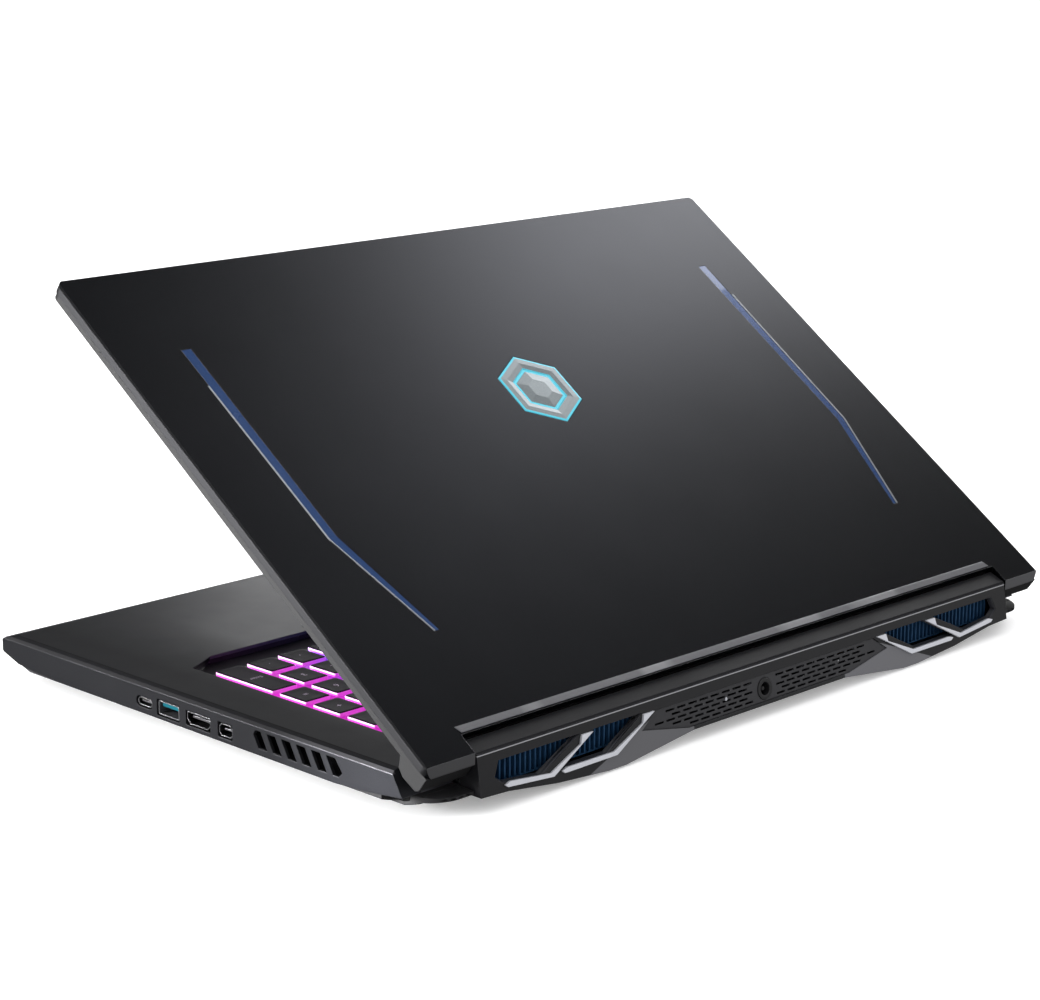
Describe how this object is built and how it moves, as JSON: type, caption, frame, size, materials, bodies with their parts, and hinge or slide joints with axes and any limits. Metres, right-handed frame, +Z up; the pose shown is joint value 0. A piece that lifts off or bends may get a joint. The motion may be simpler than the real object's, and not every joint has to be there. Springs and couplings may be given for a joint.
{
  "type": "laptop computer",
  "caption": "Wide gaming laptop with a rear exhaust housing, a hinged lid and screen, a backlit keyboard and side sockets, its lid part open.",
  "frame": {"origin": "middle of the overall footprint, on the surface that the rubber feet stand on", "axes": "+X to the user's right along the hinge, +Y to the rear, +Z up"},
  "size_m": [0.398, 0.2742, 0.1808],
  "materials": {
    "deck_metal": "satin anodised dark grey",
    "cover_plastic": "fine textured black",
    "housing_plastic": "satin dark grey",
    "hump_plastic": "satin black",
    "trim_silver": "bright silver",
    "fin_metal": "blue tinted thin fins",
    "copper": "bare copper",
    "rotor_plastic": "moulded fan plastic",
    "circuit_board": "solder mask green",
    "battery_film": "black film",
    "glowing_tray": "translucent tray lit from below",
    "key_caps": "soft matt black caps",
    "touchpad_glass": "smooth matt",
    "button_plastic": "satin",
    "hinge_steel": "stamped steel",
    "socket_steel": "plated shell",
    "socket_teal": "plated shell with teal tongue",
    "socket_black": "moulded black",
    "foot_rubber": "matt",
    "screw_steel": "blackened",
    "lid_metal": "brushed dark grey",
    "bezel_plastic": "fine textured black",
    "screen_face": "unlit low gloss screen",
    "inlay_blue": "deep blue lacquer",
    "badge_silver": "polished silver",
    "strip_silver": "brushed strip",
    "camera_black": "glossy black lens"
  },
  "bodies": {
    "base": {"top_case": "deck_metal", "bottom_cover": "cover_plastic", "keyboard_tray": "glowing_tray", "hinge_cover": "hump_plastic", "rear_housing": "housing_plastic", "rear_grille": "housing_plastic", "exhaust_trim_right": "trim_silver", "exhaust_trim_left": "trim_silver", "fin_stack_right": "fin_metal", "fin_stack_left": "fin_metal", "heat_pipes": "copper", "fan_housing_right": "cover_plastic", "fan_housing_left": "cover_plastic", "mainboard": "circuit_board", "cold_plates": "copper", "memory_modules": "circuit_board", "solid_state_drive": "circuit_board", "wireless_card": "circuit_board", "battery_pack": "battery_film", "speakers": "cover_plastic", "hinge_bracket_right": "hinge_steel", "hinge_bracket_left": "hinge_steel", "usb_c_socket": "socket_steel", "usb_a_socket": "socket_teal", "hdmi_socket": "socket_steel", "mini_dp_socket": "socket_steel", "usb_a_sockets_left": "socket_teal", "audio_socket": "socket_black", "lan_socket": "socket_black", "dc_socket": "socket_black", "rubber_feet": "foot_rubber", "bottom_screws": "screw_steel"},
    "lid": {"lid_cover": "lid_metal", "screen_bezel": "bezel_plastic", "display_panel": "screen_face", "hinge_arm_right": "hinge_steel", "hinge_arm_left": "hinge_steel", "accent_inlays": "inlay_blue", "lid_badge": "badge_silver", "lid_strip": "strip_silver", "camera_module": "camera_black", "bezel_bumpers": "foot_rubber"},
    "function_keys": {"function_keys": "key_caps"},
    "number_keys": {"number_keys": "key_caps"},
    "upper_letter_keys": {"upper_letter_keys": "key_caps"},
    "home_letter_keys": {"home_letter_keys": "key_caps"},
    "lower_letter_keys": {"lower_letter_keys": "key_caps"},
    "modifier_keys": {"modifier_keys": "key_caps"},
    "space_bar": {"space_bar": "key_caps"},
    "enter_key": {"enter_key": "key_caps"},
    "arrow_keys": {"arrow_keys": "key_caps"},
    "numpad_keys": {"numpad_keys": "key_caps"},
    "numpad_enter_key": {"numpad_enter_key": "key_caps"},
    "touchpad": {"touchpad": "touchpad_glass"},
    "power_button": {"power_button": "button_plastic"},
    "turbo_button": {"turbo_button": "button_plastic"},
    "fan_rotor_right": {"fan_rotor_right": "rotor_plastic"},
    "fan_rotor_left": {"fan_rotor_left": "rotor_plastic"},
    "lan_jaw": {"lan_jaw": "socket_black"}
  },
  "joints": [
    {"name": "lid_hinge", "type": "hinge", "parent": "base", "child": "lid", "pos_m": [0, 0.12775, 0.0226], "axis": [-1, 0, 0], "range_deg": [-35.4, 104.6]},
    {"name": "function_keys_press", "type": "slide", "parent": "base", "child": "function_keys", "axis": [0, 0, -1], "range_m": [0, 0.0015], "stiffness_N_per_m": 400, "springref_m": -0.0008},
    {"name": "number_keys_press", "type": "slide", "parent": "base", "child": "number_keys", "axis": [0, 0, -1], "range_m": [0, 0.0015], "stiffness_N_per_m": 400, "springref_m": -0.0008},
    {"name": "upper_letter_keys_press", "type": "slide", "parent": "base", "child": "upper_letter_keys", "axis": [0, 0, -1], "range_m": [0, 0.0015], "stiffness_N_per_m": 400, "springref_m": -0.0008},
    {"name": "home_letter_keys_press", "type": "slide", "parent": "base", "child": "home_letter_keys", "axis": [0, 0, -1], "range_m": [0, 0.0015], "stiffness_N_per_m": 400, "springref_m": -0.0008},
    {"name": "lower_letter_keys_press", "type": "slide", "parent": "base", "child": "lower_letter_keys", "axis": [0, 0, -1], "range_m": [0, 0.0015], "stiffness_N_per_m": 400, "springref_m": -0.0008},
    {"name": "modifier_keys_press", "type": "slide", "parent": "base", "child": "modifier_keys", "axis": [0, 0, -1], "range_m": [0, 0.0015], "stiffness_N_per_m": 400, "springref_m": -0.0008},
    {"name": "space_bar_press", "type": "slide", "parent": "base", "child": "space_bar", "axis": [0, 0, -1], "range_m": [0, 0.0015], "stiffness_N_per_m": 400, "springref_m": -0.0008},
    {"name": "enter_key_press", "type": "slide", "parent": "base", "child": "enter_key", "axis": [0, 0, -1], "range_m": [0, 0.0015], "stiffness_N_per_m": 400, "springref_m": -0.0008},
    {"name": "arrow_keys_press", "type": "slide", "parent": "base", "child": "arrow_keys", "axis": [0, 0, -1], "range_m": [0, 0.0015], "stiffness_N_per_m": 400, "springref_m": -0.0008},
    {"name": "numpad_keys_press", "type": "slide", "parent": "base", "child": "numpad_keys", "axis": [0, 0, -1], "range_m": [0, 0.0015], "stiffness_N_per_m": 400, "springref_m": -0.0008},
    {"name": "numpad_enter_key_press", "type": "slide", "parent": "base", "child": "numpad_enter_key", "axis": [0, 0, -1], "range_m": [0, 0.0015], "stiffness_N_per_m": 400, "springref_m": -0.0008},
    {"name": "touchpad_press", "type": "slide", "parent": "base", "child": "touchpad", "axis": [0, 0, -1], "range_m": [0, 0.0004], "stiffness_N_per_m": 2000, "springref_m": -0.0005},
    {"name": "power_button_press", "type": "slide", "parent": "base", "child": "power_button", "axis": [0, 0, -1], "range_m": [0, 0.0006], "stiffness_N_per_m": 600, "springref_m": -0.0004},
    {"name": "turbo_button_press", "type": "slide", "parent": "base", "child": "turbo_button", "axis": [0, 0, -1], "range_m": [0, 0.0006], "stiffness_N_per_m": 600, "springref_m": -0.0004},
    {"name": "fan_right_spin", "type": "hinge", "parent": "base", "child": "fan_rotor_right", "pos_m": [0.118, 0.06725, 0.0092], "axis": [0, 0, 1], "continuous": true},
    {"name": "fan_left_spin", "type": "hinge", "parent": "base", "child": "fan_rotor_left", "pos_m": [-0.118, 0.06725, 0.0092], "axis": [0, 0, 1], "continuous": true},
    {"name": "lan_jaw_swing", "type": "hinge", "parent": "base", "child": "lan_jaw", "pos_m": [-0.1965, 0.02525, 0.0084], "axis": [0, -1, 0], "range_deg": [0, 20], "stiffness_Nm_per_rad": 0.02, "springref_deg": -20.05}
  ]
}
